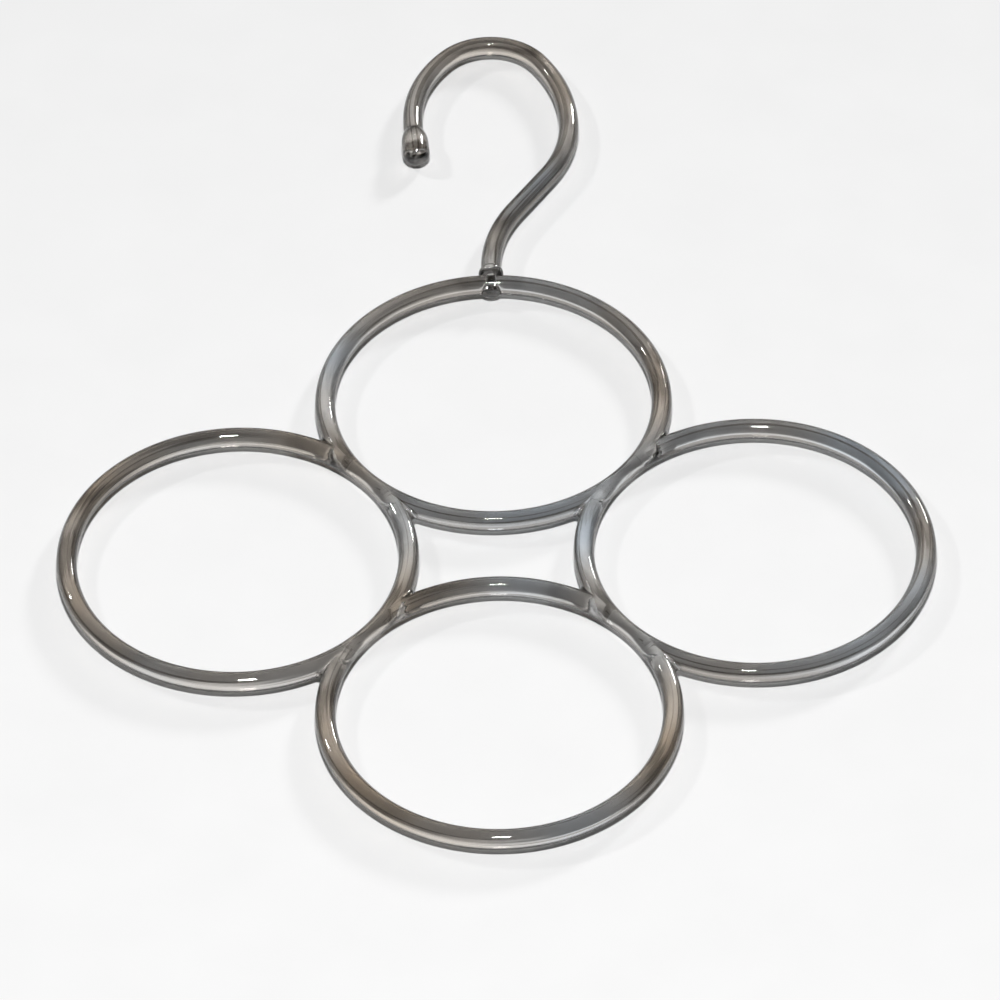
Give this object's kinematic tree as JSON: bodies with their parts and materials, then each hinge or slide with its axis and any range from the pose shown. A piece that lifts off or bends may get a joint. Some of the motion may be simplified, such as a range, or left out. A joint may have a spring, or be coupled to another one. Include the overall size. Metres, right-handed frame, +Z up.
{
  "type": "scarf hanger",
  "caption": "Clear moulded scarf hanger: round-rod rings joined in a diamond for scarves, under a swivelling open hook with ball ends.",
  "frame": {"origin": "under the middle of the whole hanger, in the plane that the two balls rest on", "axes": "+X to the right along the row of side rings, +Y along the stem towards the hook, +Z up out of the hanger's plane"},
  "size_m": [0.2424, 0.32, 0.0078],
  "materials": {
    "ring_plastic": "clear, polished",
    "hook_plastic": "clear, polished"
  },
  "bodies": {
    "ring_frame": {"ring_top": "ring_plastic", "ring_left": "ring_plastic", "ring_right": "ring_plastic", "ring_bottom": "ring_plastic"},
    "swivel_hook": {"hook": "hook_plastic"}
  },
  "joints": [
    {"name": "hook_swivel", "type": "hinge", "parent": "ring_frame", "child": "swivel_hook", "pos_m": [0, 0.05671, 0.0039], "axis": [0, 1, 0], "continuous": true}
  ]
}
